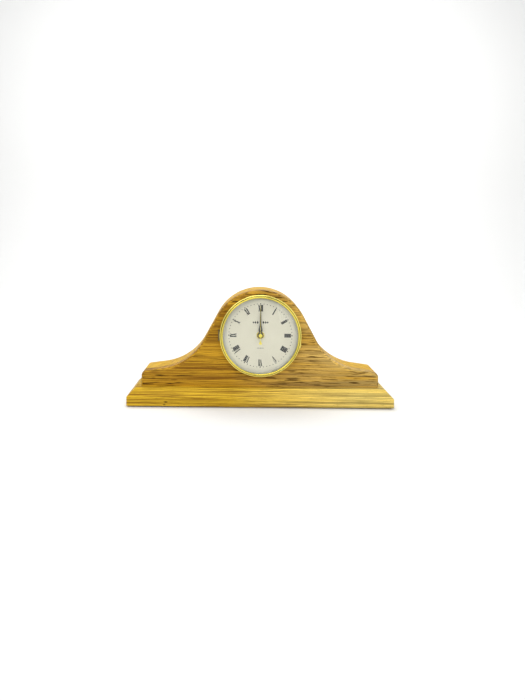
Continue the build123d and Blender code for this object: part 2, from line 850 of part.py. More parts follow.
def gear(teeth, module, front, phase, hole=0, x=0, z=0, pinion=False):
    """A toothed disc added to the open part, with the clearances of clock teeth."""
    addendum, pitch_share, tip_share = (0.6, 0.34, 0.2) if pinion else (0.9, 0.4, 0.16)
    root_share = 1.15 * pitch_share
    root = teeth / 2 - 1.2
    tip = teeth / 2 + addendum
    tooth = (
        (root, -root_share / 2),
        (teeth / 2, -pitch_share / 2),
        (tip, -tip_share / 2),
        (tip, tip_share / 2),
        (teeth / 2, pitch_share / 2),
        (root, root_share / 2),
    )
    outline = []
    for number in range(teeth):
        for radius, share in tooth:
            angle = radians(phase + (number + share) * 360 / teeth)
            outline.append((module * radius * cos(angle), module * radius * sin(angle)))
    with BuildSketch(facing(front + gear_thickness, x, z)) as profile:
        with BuildLine():
            Polyline(*outline, close=True)
        make_face()
        if hole:
            Circle(hole, mode=Mode.SUBTRACT)
    extrude(profile.sketch, amount=gear_thickness)


third_module = module_of(third_distance, second_pinion_teeth, third_wheel_teeth)
center_module = module_of(third_distance, third_pinion_teeth, center_wheel_teeth)
second_module = module_of(intermediate_z, second_wheel_teeth, intermediate_pinion_teeth)
rotor_module = module_of(rotor_distance, rotor_pinion_teeth, intermediate_wheel_teeth)
cannon_module = module_of(motion_x, cannon_teeth, motion_wheel_teeth)
hour_module = module_of(motion_x, motion_pinion_teeth, hour_wheel_teeth)
third_direction = 135
rotor_direction = 45
third_phase = meshed_phase(second_pinion_teeth, 0, third_direction, third_wheel_teeth)
center_phase = meshed_phase(third_pinion_teeth, 0, third_direction + 180, center_wheel_teeth)
intermediate_phase = meshed_phase(second_wheel_teeth, 0, 90, intermediate_pinion_teeth)
rotor_phase = meshed_phase(intermediate_wheel_teeth, 0, rotor_direction, rotor_pinion_teeth)
motion_phase = meshed_phase(cannon_teeth, 0, 0, motion_wheel_teeth)
hour_phase = meshed_phase(motion_pinion_teeth, 0, 180, hour_wheel_teeth)
set_phase = meshed_phase(motion_wheel_teeth, motion_phase, 0, set_pinion_teeth)
pivot_back = inner_back + pivot_reach

with BuildPart() as second_wheel:
    disc(second_hand_front, pivot_back, second_arbor_radius)
    gear(second_wheel_teeth, second_module, second_layer_y, 0)
    gear(second_pinion_teeth, third_module, layer(4), 0, pinion=True)
finish(second_wheel, "second_wheel")

with BuildPart() as third_wheel:
    disc(inner_front - pivot_reach, bridge_back + 0.1, arbor_radius, x=third_x, z=third_z)
    gear(third_wheel_teeth, third_module, layer(4), third_phase, x=third_x, z=third_z)
    gear(third_pinion_teeth, center_module, layer(3), 0, x=third_x, z=third_z, pinion=True)
finish(third_wheel, "third_wheel")

with BuildPart() as center_wheel:
    gear(center_wheel_teeth, center_module, layer(3), center_phase, hole=hour_bore)
finish(center_wheel, "center_wheel")

with BuildPart() as intermediate_wheel:
    disc(bridge_front + 0.1, pivot_back, arbor_radius, z=intermediate_z)
    gear(intermediate_pinion_teeth, second_module, second_layer_y, intermediate_phase,
         z=intermediate_z, pinion=True)
    gear(intermediate_wheel_teeth, rotor_module, intermediate_layer_y, 0, z=intermediate_z)
finish(intermediate_wheel, "intermediate_wheel")

with BuildPart() as rotor_pinion:
    disc(bridge_front + 0.1, pivot_back, rotor_arbor_radius, x=rotor_x, z=rotor_z)
    gear(rotor_pinion_teeth, rotor_module, intermediate_layer_y, rotor_phase,
         x=rotor_x, z=rotor_z, pinion=True)
finish(rotor_pinion, "rotor_pinion")

with BuildPart() as rotor_magnet:
    disc(magnet_y, magnet_y + 1.8, 2.6, hole=rotor_arbor_radius, x=rotor_x, z=rotor_z)
finish(rotor_magnet, "rotor_magnet")

with BuildPart() as cannon_pinion:
    disc(cannon_front, layer(4) - 0.3, cannon_radius, hole=cannon_bore)
    gear(cannon_teeth, cannon_module, layer(2), 0, hole=cannon_bore, pinion=True)
finish(cannon_pinion, "cannon_pinion")

with BuildPart() as motion_wheel:
    gear(motion_wheel_teeth, cannon_module, layer(2), motion_phase, x=motion_x)
    gear(motion_pinion_teeth, hour_module, layer(1), 0, x=motion_x, pinion=True)
    disc(layer(1), layer(2), 1.5 * post_radius, x=motion_x)
    bore(layer(1), layer(2) + gear_thickness, post_radius + running, x=motion_x)
finish(motion_wheel, "motion_wheel")

with BuildPart() as hour_wheel:
    disc(hour_pipe_front, layer(1), hour_pipe_radius, hole=hour_bore)
    gear(hour_wheel_teeth, hour_module, layer(1), hour_phase, hole=hour_bore)
finish(hour_wheel, "hour_wheel")

set_knob_radius = 4.6
set_knob_front = movement_back + 0.5
set_knob_back = set_knob_front + 5
set_shaft_back = set_knob_back - 1
flutes = 18

with BuildPart() as set_shaft:
    disc(inner_front - pivot_depth, set_shaft_back, set_radius, x=set_x)
    gear(set_pinion_teeth, cannon_module, layer(2), set_phase, x=set_x, pinion=True)
finish(set_shaft, "set_shaft")

with BuildPart() as set_knob:
    disc(set_knob_front, set_knob_back, set_knob_radius, x=set_x)
    with BuildSketch(facing(set_knob_back, set_x)):
        with PolarLocations(set_knob_radius + 0.25, flutes):
            Circle(0.6)
    extrude(amount=set_knob_back - set_knob_front, mode=Mode.SUBTRACT)
    bore(set_knob_front, set_shaft_back, set_radius, x=set_x)
finish(set_knob, "set_knob")


# ---- hands ------------------------------------------------------------------------------
def leaf_hand(front, hub_radius, hole, leaf_half, stem_half, stem_at, tip_half, tip_at):
    """A pierced leaf hand pointing up: hub, swelling leaf, tapering stem and blunt tip."""
    root_half = 1.2
    root_at = 0.8 * hub_radius
    widest_at = 9.3
    with BuildSketch(facing(front + hand_thickness)) as profile:
        Circle(hub_radius)
        with BuildLine():
            for side in (1, -1):
                leaf = Spline(
                    (side * root_half, root_at),
                    (side * leaf_half, widest_at),
                    (side * stem_half, stem_at),
                    tangents=((side * 0.4, 1), (side * -0.05, 1)),
                )
                Line(leaf @ 1, (side * tip_half, tip_at))
            Line((-root_half, root_at), (root_half, root_at))
            Line((-tip_half, tip_at), (tip_half, tip_at))
        make_face()
        with Locations((0, widest_at + 1.7)):
            Ellipse(leaf_half - 2.2, 3, mode=Mode.SUBTRACT)
        Circle(hole, mode=Mode.SUBTRACT)
    extrude(profile.sketch, amount=hand_thickness)


with BuildPart() as hour_hand:
    leaf_hand(hour_hand_front, 4.9, hour_pipe_radius, 3, 1.5, 17, 0.6, 34)
finish(hour_hand, "hour_hand")

with BuildPart() as minute_hand:
    leaf_hand(minute_hand_front, 3.9, cannon_radius, 2.9, 1.4, 18, 0.5, 47)
finish(minute_hand, "minute_hand")

second_root = 0.2
second_tip = 0.15
tail_top = -4.5
tail_narrow = -7
tail_corner_x = 2.6
tail_corner_z = -12.6
tail_end = -13.7
cap_radius = 3.1
cap_height = 0.9

with BuildPart() as second_hand:
    with BuildSketch(facing(second_hand_front + second_hand_thickness)):
        with BuildLine():
            Polyline(
                (-second_root, tail_narrow),
                (second_root, tail_narrow),
                (second_tip, 48),
                (-second_tip, 48),
                close=True,
            )
        make_face()
        with BuildLine():
            Polyline(
                (-tail_corner_x, tail_corner_z),
                (-second_root, tail_narrow),
                (-second_root, tail_top),
                (second_root, tail_top),
                (second_root, tail_narrow),
                (tail_corner_x, tail_corner_z),
            )
            ThreePointArc(
                (tail_corner_x, tail_corner_z),
                (0, tail_end),
                (-tail_corner_x, tail_corner_z),
            )
        make_face()
        Circle(1.6)
        Circle(second_arbor_radius, mode=Mode.SUBTRACT)
    extrude(amount=second_hand_thickness)
    collar_back = minute_hand_front - 0.15
    disc(second_hand_front + second_hand_thickness, collar_back, 1, hole=second_arbor_radius)
finish(second_hand, "second_hand")

with BuildPart() as second_hand_cap:
    cap_front = second_hand_front - cap_height
    disc(cap_front, second_hand_front, cap_radius)
    fillet(second_hand_cap.faces().sort_by(Axis.Y)[0].edges(), radius=0.7)
    bore(cap_front, cap_front + 0.3, 0.45)
finish(second_hand_cap, "second_hand_cap")
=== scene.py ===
import math

import bmesh
import bpy
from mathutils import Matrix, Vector


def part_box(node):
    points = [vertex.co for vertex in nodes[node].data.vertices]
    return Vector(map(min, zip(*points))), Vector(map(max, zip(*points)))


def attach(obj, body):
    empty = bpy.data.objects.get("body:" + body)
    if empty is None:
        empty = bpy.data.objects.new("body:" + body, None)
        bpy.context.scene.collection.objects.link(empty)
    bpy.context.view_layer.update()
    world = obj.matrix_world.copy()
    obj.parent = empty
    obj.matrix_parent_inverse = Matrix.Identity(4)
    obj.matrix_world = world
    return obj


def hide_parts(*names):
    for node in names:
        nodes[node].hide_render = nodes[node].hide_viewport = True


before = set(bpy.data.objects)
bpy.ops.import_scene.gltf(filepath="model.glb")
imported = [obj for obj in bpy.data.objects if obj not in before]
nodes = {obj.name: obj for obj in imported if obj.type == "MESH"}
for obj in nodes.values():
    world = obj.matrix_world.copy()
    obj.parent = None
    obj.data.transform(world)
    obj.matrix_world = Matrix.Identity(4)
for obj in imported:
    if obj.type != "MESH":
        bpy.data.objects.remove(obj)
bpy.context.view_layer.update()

# ---- places worked out from the frame, in metres ------------------------------------------
MM = 0.001
dial_low, dial_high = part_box("dial_plate")
DIAL_X = (dial_low.x + dial_high.x) / 2
DIAL_Z = (dial_low.z + dial_high.z) / 2
DIAL_FRONT = dial_low.y
BASE_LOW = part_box("base_board")[0]
PRINT_THICKNESS = 0.05 * MM
PRINT_SUNK = 0.01 * MM

# the bezel's outside and the groove between its two beads, as radii in millimetres
BEZEL_RADIUS = 65.0
GROOVE_RADIUS = BEZEL_RADIUS - 2.2


# ---- small helpers ------------------------------------------------------------------------
class Tree:
    """A material's node tree, with short calls for the nodes used here."""

    def __init__(self, name):
        self.material = bpy.data.materials.new(name)
        self.material.use_nodes = True
        self.tree = self.material.node_tree
        self.tree.nodes.clear()
        self.shader = self.node("ShaderNodeBsdfPrincipled")
        self.out = self.node("ShaderNodeOutputMaterial")
        self.join(self.shader.outputs["BSDF"], self.out.inputs["Surface"])
        self.point = self.node("ShaderNodeTexCoord").outputs["Object"]

    def node(self, kind, **settings):
        made = self.tree.nodes.new(kind)
        for key, value in settings.items():
            setattr(made, key, value)
        return made

    def join(self, source, target):
        self.tree.links.new(source, target)

    def put(self, node, name, value):
        """Set a socket to a plain value, or link it to another socket."""
        socket = node.inputs[name]
        if isinstance(value, bpy.types.NodeSocket):
            self.join(value, socket)
        else:
            socket.default_value = value

    def math(self, operation, a, b=0.0, clamp=False):
        made = self.node("ShaderNodeMath", operation=operation, use_clamp=clamp)
        self.put(made, 0, a)
        self.put(made, 1, b)
        return made.outputs[0]

    def scaled(self, scale, shift=(0, 0, 0), rotate=(0, 0, 0)):
        """The object's own coordinates, stretched."""
        made = self.node("ShaderNodeMapping", vector_type="POINT")
        self.join(self.point, made.inputs["Vector"])
        made.inputs["Scale"].default_value = scale
        made.inputs["Location"].default_value = shift
        made.inputs["Rotation"].default_value = rotate
        return made.outputs[0]

    def noise(self, vector, detail=3.0, rough=0.5, warp=0.0):
        """Noise over coordinates that are already stretched to its scale."""
        made = self.node("ShaderNodeTexNoise")
        self.join(vector, made.inputs["Vector"])
        made.inputs["Scale"].default_value = 1.0
        made.inputs["Detail"].default_value = detail
        made.inputs["Roughness"].default_value = rough
        made.inputs["Distortion"].default_value = warp
        return made.outputs["Fac"]

    def ramp(self, value, stops):
        """Colour ramp; each stop is (place, grey or colour)."""
        made = self.node("ShaderNodeValToRGB")
        self.join(value, made.inputs["Fac"])
        scale = made.color_ramp
        scale.interpolation = "LINEAR"
        while len(scale.elements) < len(stops):
            scale.elements.new(0.5)
        for element, (place, colour) in zip(scale.elements, stops):
            element.position = place
            element.color = (*colour, 1) if isinstance(colour, tuple) else (colour,) * 3 + (1,)
        return made.outputs["Color"]

    def span(self, value, low, high, to_low, to_high):
        """Map a range onto another, clamped."""
        made = self.node("ShaderNodeMapRange")
        self.put(made, "Value", value)
        for key, number in zip(("From Min", "From Max", "To Min", "To Max"),
                               (low, high, to_low, to_high)):
            made.inputs[key].default_value = number
        return made.outputs["Result"]

    def blend(self, factor, a, b):
        """Mix two colours. The Mix node's colour sockets are its seventh and eighth."""
        made = self.node("ShaderNodeMix", data_type="RGBA", blend_type="MIX")
        self.put(made, 0, factor)
        for index, value in ((6, a), (7, b)):
            if isinstance(value, tuple):
                value = (*value, 1)
            self.put(made, index, value)
        return made.outputs[2]

    def bump(self, height, distance, strength):
        made = self.node("ShaderNodeBump")
        self.join(height, made.inputs["Height"])
        made.inputs["Distance"].default_value = distance
        made.inputs["Strength"].default_value = strength
        return made.outputs["Normal"]

    def places(self):
        """The object's own X, Y and Z, in metres."""
        apart = self.node("ShaderNodeSeparateXYZ")
        self.join(self.point, apart.inputs[0])
        return apart.outputs

    def length(self, a, b):
        """The square root of a squared plus b squared."""
        squares = self.math("ADD", self.math("MULTIPLY", a, a), self.math("MULTIPLY", b, b))
        return self.math("SQRT", squares)

    def dial_radius(self):
        """Distance from the dial's axis, in metres."""
        x, _, z = self.places()
        return self.length(self.math("SUBTRACT", x, DIAL_X), self.math("SUBTRACT", z, DIAL_Z))

    def set(self, **values):
        """Principled inputs by name, with underscores for spaces."""
        for key, value in values.items():
            name = key.replace("_", " ")
            if isinstance(value, tuple):
                value = (*value, 1)
            self.put(self.shader, name, value)
        return self.material


# ---- materials ----------------------------------------------------------------------------
def shaded(colour, factor):
    """A colour made lighter or darker."""
    return tuple(c * factor for c in colour)


# how far the growth rings wander, where the wood's lightening along X starts and ends, and how
# dark the wood is from one ring to the next
RING_DRIFT = 20 * MM
RING_WOBBLE = 1.6 * MM
LIGHTER_START = -0.05
LIGHTER_STOP = 0.15
RING_SHADES = [(0.0, 1.0), (0.12, 0.7), (0.45, 0.1), (0.8, 0.0), (0.96, 0.5), (1.0, 1.0)]
KNOT_LENGTHENED = 0.45


def oak(name, seed, light, dark, ring=2.8, pith=(0.05, -0.35), figure=0.45, flecks=0.6,
        lighter_end=None, spots=()):
    """Straight-grained honey oak, with the grain along X.

    It has growth lines, long streaks, short dark flecks, open pores and a thin lacquer. ring is
    the line spacing in millimetres, pith the centre of the growth rings in Y and Z, lighter_end
    the lighter colour the board turns to towards its +X end, and spots are pin knots, each with
    its X, Z and radius.
    """
    t = Tree(name)
    x, y, z = t.places()
    drift = t.noise(t.scaled((4, 14, 14), (seed, 0, 0)), detail=2.0)
    wobble = t.noise(t.scaled((16, 90, 90), (0, seed, 0)), detail=2.0)
    radius = t.length(t.math("SUBTRACT", y, pith[0]), t.math("SUBTRACT", z, pith[1]))
    radius = t.math("ADD", radius, t.math("MULTIPLY", drift, RING_DRIFT))
    radius = t.math("ADD", radius, t.math("MULTIPLY", wobble, RING_WOBBLE))
    rings = t.math("FRACT", t.math("MULTIPLY", radius, 1 / (ring * MM)))
    early = t.ramp(rings, RING_SHADES)

    patch = t.noise(t.scaled((5, 30, 30), (3, seed, 2)), detail=2.0)
    streak = t.noise(t.scaled((5, 300, 300), (seed, 1, 2)), detail=4.0, rough=0.55)
    fleck = t.noise(t.scaled((34, 520, 520), (seed, 7, 3)), detail=2.0)
    region = t.noise(t.scaled((13, 30, 30), (seed, 5, 9)), detail=1.0)
    thread = t.noise(t.scaled((8, 640, 640), (seed, 6, 4)), detail=2.0)
    fine = t.noise(t.scaled((60, 2200, 2200), (seed, 4, 1)), detail=2.0)
    pores = t.noise(t.scaled((170, 3400, 3400), (seed, 2, 8)), detail=1.0)
    pore_limit = t.math("SUBTRACT", 0.71, t.math("MULTIPLY", early, 0.12))
    pore = t.math("MULTIPLY", t.math("SUBTRACT", pores, pore_limit), 14.0, clamp=True)

    deep = shaded(dark, 0.3)
    middle = tuple(0.6 * a + 0.4 * b for a, b in zip(light, dark))
    pale = tuple(min(1.0, c) for c in shaded(middle, 1.35))
    if lighter_end:
        # the board grows lighter towards +X
        along = t.span(x, LIGHTER_START, LIGHTER_STOP, 0.0, 1.0)
        light = t.blend(along, light, lighter_end)
        dark = t.blend(along, dark, shaded(lighter_end, 0.36))
    body = t.blend(t.span(patch, 0.35, 0.7, 0.0, 1.0), light, middle)
    body = t.blend(t.math("MULTIPLY", early, figure), body, dark)
    body = t.blend(t.span(streak, 0.44, 0.66, 0.0, min(1.0, 1.7 * figure)), body, dark)
    body = t.blend(t.span(streak, 0.28, 0.44, 0.5, 0.0), body, pale)
    body = t.blend(t.span(fine, 0.35, 0.7, 0.0, 0.3), body, dark)
    body = t.blend(t.span(thread, 0.56, 0.64, 0.0, 1.2 * figure), body, dark)
    near_region = t.span(region, 0.36, 0.58, 0.2, 1.0)
    dash = t.math("MULTIPLY", t.span(fleck, 0.54, 0.63, 0.0, 1.0), near_region)
    body = t.blend(t.math("MULTIPLY", dash, flecks), body, deep)
    body = t.blend(t.math("MULTIPLY", pore, 0.6), body, deep)
    for spot_x, spot_z, size in spots:
        across = t.math("MULTIPLY", t.math("SUBTRACT", x, spot_x), KNOT_LENGTHENED)
        away = t.length(across, t.math("SUBTRACT", z, spot_z))
        body = t.blend(t.span(away, 0.3 * size, size, 0.9, 0.0), body, deep)

    hollows = t.math("ADD", pore, t.math("MULTIPLY", early, 0.2))
    relief = t.math("SUBTRACT", t.math("MULTIPLY", fine, 0.25), hollows)
    normal = t.bump(relief, 0.1 * MM, 0.4)
    rough = t.span(t.math("ADD", pore, streak), 0.3, 1.3, 0.42, 0.58)
    t.set(Base_Color=body, Roughness=rough, Normal=normal)
    return t.set(Coat_Weight=0.03, Coat_Roughness=0.35, Specular_IOR_Level=0.05)


def metal(name, colour, rough, worn=0.12):
    """Polished or satin metal, slightly clouded."""
    t = Tree(name)
    cloud = t.noise(t.scaled((160, 160, 160)), detail=4.0)
    tint = t.blend(t.span(cloud, 0.35, 0.7, 0.0, 1.0), colour, shaded(colour, 1 - worn))
    marks = t.noise(t.scaled((2500, 2500, 2500)), detail=2.0)
    height = t.math("ADD", marks, t.math("MULTIPLY", cloud, 0.5))
    normal = t.bump(height, 0.02 * MM, 0.35)
    roughness = t.span(cloud, 0.3, 0.75, rough * 0.95, rough * 1.25)
    return t.set(Base_Color=tint, Roughness=roughness, Normal=normal, Metallic=1.0)


TURNING_MARKS = 9 / MM
# half width of the groove's darkest line and of the step to the paler bead, then where the
# groove's painted shade ends
GROOVE_DARK = 0.2 * MM
GROOVE_CLEAR = 1.0 * MM


def spun_metal(name, colour, rough, worn=0.12, bead=None, groove=0.0):
    """Metal turned or spun about the dial's axis, with fine marks round it.

    groove is the radius, in metres, of a dark line of painted shade, and bead the colour
    outside it, a paler painted highlight on the outer bead.
    """
    t = Tree(name)
    cloud = t.noise(t.scaled((160, 160, 160)), detail=4.0)
    tint = t.blend(t.span(cloud, 0.35, 0.7, 0.0, 1.0), colour, shaded(colour, 1 - worn))
    radius = t.dial_radius()
    if bead:
        # painted highlight: outside the groove the outer bead takes the paler bead colour
        outside = t.span(radius, groove - GROOVE_DARK, groove + GROOVE_DARK, 0.0, 1.0)
        tint = t.blend(outside, tint, bead)
        # painted shade: the brass darkens along the groove between the beads
        away = t.math("ABSOLUTE", t.math("SUBTRACT", radius, groove))
        groove_shade = t.span(away, GROOVE_DARK, GROOVE_CLEAR, 0.6, 0.0)
        tint = t.blend(groove_shade, tint, shaded(colour, 0.3))
    lines = t.node("ShaderNodeTexNoise", noise_dimensions="1D")
    t.join(t.math("MULTIPLY", radius, TURNING_MARKS), lines.inputs["W"])
    height = t.math("ADD", lines.outputs["Fac"], t.math("MULTIPLY", cloud, 0.5))
    normal = t.bump(height, 0.0005 * MM, 0.05)
    roughness = t.span(cloud, 0.3, 0.75, rough * 0.95, rough * 1.05)
    return t.set(Base_Color=tint, Roughness=roughness, Normal=normal, Metallic=1.0)


def plastic(name, colour, rough=0.42, grain=900):
    """Moulded plastic with a fine texture and slight mottling."""
    t = Tree(name)
    spark = t.noise(t.scaled((grain, grain, grain)), detail=3.0)
    cloud = t.noise(t.scaled((60, 60, 60)), detail=2.0)
    shade = t.blend(t.span(cloud, 0.3, 0.7, 0.0, 0.6), colour, shaded(colour, 0.82))
    normal = t.bump(spark, 0.04 * MM, 0.3)
    roughness = t.span(spark, 0.3, 0.7, rough * 0.85, min(1.0, rough * 1.2))
    return t.set(Base_Color=shade, Roughness=roughness, Normal=normal)


def felt(name, colour):
    """Short-napped felt: matted fibres in the colour and the surface."""
    t = Tree(name)
    fibre = t.noise(t.scaled((1400, 1400, 1400)), detail=6.0, rough=0.7, warp=1.5)
    clump = t.noise(t.scaled((300, 300, 300)), detail=3.0)
    both = t.math("ADD", t.math("MULTIPLY", fibre, 0.7), t.math("MULTIPLY", clump, 0.3))
    shade = t.ramp(both, [(0.35, shaded(colour, 0.55)), (0.65, colour)])
    t.set(Base_Color=shade, Roughness=0.95, Normal=t.bump(both, 0.4 * MM, 0.8))
    return t.set(Sheen_Weight=0.5, Sheen_Roughness=0.5)


IVORY = (0.635, 0.605, 0.49)
IVORY_CLOUDED = (0.605, 0.575, 0.465)
# the painted shade at the dial's rim, and the radii where it starts and ends
IVORY_RIM_SHADE = (0.50, 0.52, 0.46)
IVORY_SPECK = (0.50, 0.46, 0.36)
RIM_SHADE_START = 53 * MM
RIM_SHADE_END = 60 * MM


def dial_paint(name):
    """Ivory enamel on metal, faintly mottled, with painted shade of the bezel greying it towards
    the rim.
    """
    t = Tree(name)
    cloud = t.noise(t.scaled((45, 45, 45)), detail=4.0)
    grain = t.noise(t.scaled((2600, 2600, 2600)), detail=2.0)
    face = t.blend(t.span(cloud, 0.35, 0.7, 0.0, 1.0), IVORY, IVORY_CLOUDED)
    # painted shade: the face greys towards the rim, where the bezel shades it
    face = t.blend(t.span(t.dial_radius(), RIM_SHADE_START, RIM_SHADE_END, 0.0, 0.25), face, IVORY_RIM_SHADE)
    face = t.blend(t.span(grain, 0.4, 0.75, 0.0, 0.08), face, IVORY_SPECK)
    t.set(Base_Color=face, Roughness=t.span(grain, 0.3, 0.7, 0.38, 0.5))
    return t.set(Normal=t.bump(grain, 0.02 * MM, 0.25), Coat_Weight=0.15, Coat_Roughness=0.2)


def ink(name, colour):
    """Slightly raised printing ink or satin enamel, with faint unevenness."""
    t = Tree(name)
    grain = t.noise(t.scaled((3000, 3000, 3000)), detail=3.0)
    thin = tuple(c * 1.8 + 0.004 for c in colour)
    shade = t.blend(t.span(grain, 0.3, 0.75, 0.0, 1.0), colour, thin)
    t.set(Base_Color=shade, Roughness=t.span(grain, 0.3, 0.7, 0.3, 0.5))
    return t.set(Normal=t.bump(grain, 0.01 * MM, 0.2))


def window_glass(name):
    """Clear convex glass. Lamps shine straight through it."""
    t = Tree(name)
    dust = t.noise(t.scaled((700, 700, 700)), detail=4.0)
    t.set(Roughness=t.span(dust, 0.45, 0.8, 0.0, 0.03))
    t.set(Base_Color=(0.985, 0.995, 0.99), IOR=1.33, Transmission_Weight=1.0)
    rays = t.node("ShaderNodeLightPath")
    clear = t.node("ShaderNodeBsdfTransparent")
    clear.inputs["Color"].default_value = (0.96, 0.97, 0.965, 1)
    mix = t.node("ShaderNodeMixShader")
    t.join(rays.outputs["Is Shadow Ray"], mix.inputs[0])
    t.join(t.shader.outputs["BSDF"], mix.inputs[1])
    t.join(clear.outputs[0], mix.inputs[2])
    t.join(mix.outputs[0], t.out.inputs["Surface"])
    return t.material


CELL_LEFT = -0.0237
CELL_RIGHT = 0.0255
CELL_STEEL = (0.6, 0.6, 0.62)
CELL_BLACK = (0.015, 0.016, 0.02)
CELL_COPPER = (0.62, 0.30, 0.10)
CELL_BANDS = [(0.0, CELL_STEEL), (0.012, CELL_STEEL), (0.02, CELL_BLACK), (0.66, CELL_BLACK),
              (0.665, CELL_COPPER), (0.985, CELL_COPPER), (0.99, CELL_STEEL), (1.0, CELL_STEEL)]


def cell_sleeve(name):
    """Battery sleeve: dark with a copper-coloured band at the positive end, and no label."""
    t = Tree(name)
    band = t.ramp(t.span(t.places()[0], CELL_LEFT, CELL_RIGHT, 0.0, 1.0), CELL_BANDS)
    scuff = t.noise(t.scaled((200, 900, 900)), detail=4.0)
    shade = t.blend(t.span(scuff, 0.55, 0.8, 0.0, 0.25), band, (0.3, 0.3, 0.3))
    return t.set(Base_Color=shade, Roughness=t.span(scuff, 0.3, 0.7, 0.18, 0.34),
                 Normal=t.bump(scuff, 0.02 * MM, 0.2))


def circuit(name):
    """Green solder mask with copper tracks just showing under it."""
    t = Tree(name)
    tracks = t.node("ShaderNodeTexBrick")
    t.join(t.scaled((260, 260, 260), rotate=(math.pi / 2, 0, 0)), tracks.inputs["Vector"])
    tracks.inputs["Color1"].default_value = (0.012, 0.13, 0.04, 1)
    tracks.inputs["Color2"].default_value = (0.02, 0.17, 0.05, 1)
    tracks.inputs["Mortar"].default_value = (0.05, 0.26, 0.09, 1)
    tracks.inputs["Mortar Size"].default_value = 0.03
    normal = t.bump(tracks.outputs["Fac"], 0.04 * MM, 0.4)
    return t.set(Base_Color=tracks.outputs["Color"], Roughness=0.32, Normal=normal)


def wire(name):
    """Enamelled copper wound side by side along X, with painted shade in the creases between
    turns.
    """
    t = Tree(name)
    turns = t.node("ShaderNodeTexWave", wave_type="BANDS", bands_direction="X", wave_profile="SIN")
    t.join(t.point, turns.inputs["Vector"])
    turns.inputs["Scale"].default_value = 1500
    turns.inputs["Distortion"].default_value = 0.6
    # painted shade: dark in the creases between turns, copper on their crowns
    shade = t.ramp(turns.outputs["Fac"], [(0.0, (0.10, 0.022, 0.008)), (0.5, (0.62, 0.22, 0.07))])
    return t.set(Base_Color=shade, Roughness=t.span(turns.outputs["Fac"], 0.0, 1.0, 0.45, 0.22),
                 Metallic=1.0, Normal=t.bump(turns.outputs["Fac"], 0.08 * MM, 0.6))


OAK_LIGHT = (0.74, 0.47, 0.024)
OAK_DARK = (0.37, 0.185, 0.009)
FRONT_LIGHT = (0.67, 0.375, 0.024)
FRONT_DARK = (0.19, 0.080, 0.007)
BASE_LIGHT = (0.86, 0.555, 0.034)
BASE_DARK = (0.23, 0.11, 0.008)
# two pin knots in the base, each with its X, Z and radius
KNOTS = ((-0.1470, 0.0088, 0.0017), (-0.1495, 0.0048, 0.0014))
finishes = {
    "oak_front": oak("oak_front", 1.0, FRONT_LIGHT, FRONT_DARK, figure=0.62, flecks=0.95,
                     lighter_end=(0.97, 0.66, 0.20)),
    "oak_middle": oak("oak_middle", 5.0, OAK_LIGHT, OAK_DARK, flecks=0.35),
    "oak_rear": oak("oak_rear", 9.0, OAK_LIGHT, OAK_DARK, flecks=0.35),
    "oak_base": oak("oak_base", 13.0, BASE_LIGHT, BASE_DARK, ring=2.2, pith=(0.02, 0.42),
                    figure=0.7, flecks=0.3, lighter_end=(0.97, 0.72, 0.19), spots=KNOTS),
    "oak_door": oak("oak_door", 17.0, OAK_LIGHT, OAK_DARK),
    # the bead colour is a painted highlight on the bezel's outer bead
    "brass_spun": spun_metal("brass_spun", (0.74, 0.61, 0.11), 0.2, worn=0.02,
                             bead=(0.86, 0.75, 0.19), groove=GROOVE_RADIUS * MM),
    # a very dark metal for the bezel hinge
    "dark_metal": metal("dark_metal", (0.20, 0.15, 0.075), 0.4),
    "brass_small": metal("brass_small", (0.84, 0.66, 0.22), 0.24),
    "gilt": metal("gilt", (0.95, 0.80, 0.13), 0.32, worn=0.06),
    "pan_plate": spun_metal("pan_plate", (0.70, 0.62, 0.40), 0.34),
    "steel": metal("steel", (0.62, 0.62, 0.64), 0.26),
    "iron": metal("iron", (0.46, 0.45, 0.42), 0.38),
    "magnet": metal("magnet", (0.30, 0.30, 0.32), 0.34),
    "felt": felt("felt", (0.03, 0.11, 0.045)),
    "dial": dial_paint("dial"),
    "print": ink("print", (0.006, 0.007, 0.008)),
    "print_grey": ink("print_grey", (0.13, 0.13, 0.12)),
    "hand_black": ink("hand_black", (0.010, 0.010, 0.011)),
    "glass": window_glass("glass"),
    "rubber": plastic("rubber", (0.018, 0.018, 0.018), 0.7, 1500),
    "case_plastic": plastic("case_plastic", (0.022, 0.022, 0.024), 0.45, 1100),
    "gear_white": plastic("gear_white", (0.78, 0.76, 0.68), 0.38),
    "gear_amber": plastic("gear_amber", (0.66, 0.36, 0.08), 0.34),
    "bridge_grey": plastic("bridge_grey", (0.50, 0.51, 0.50), 0.45),
    "chip": plastic("chip", (0.012, 0.012, 0.013), 0.25),
    "cell": cell_sleeve("cell"),
    "circuit": circuit("circuit"),
    "wire": wire("wire"),
}

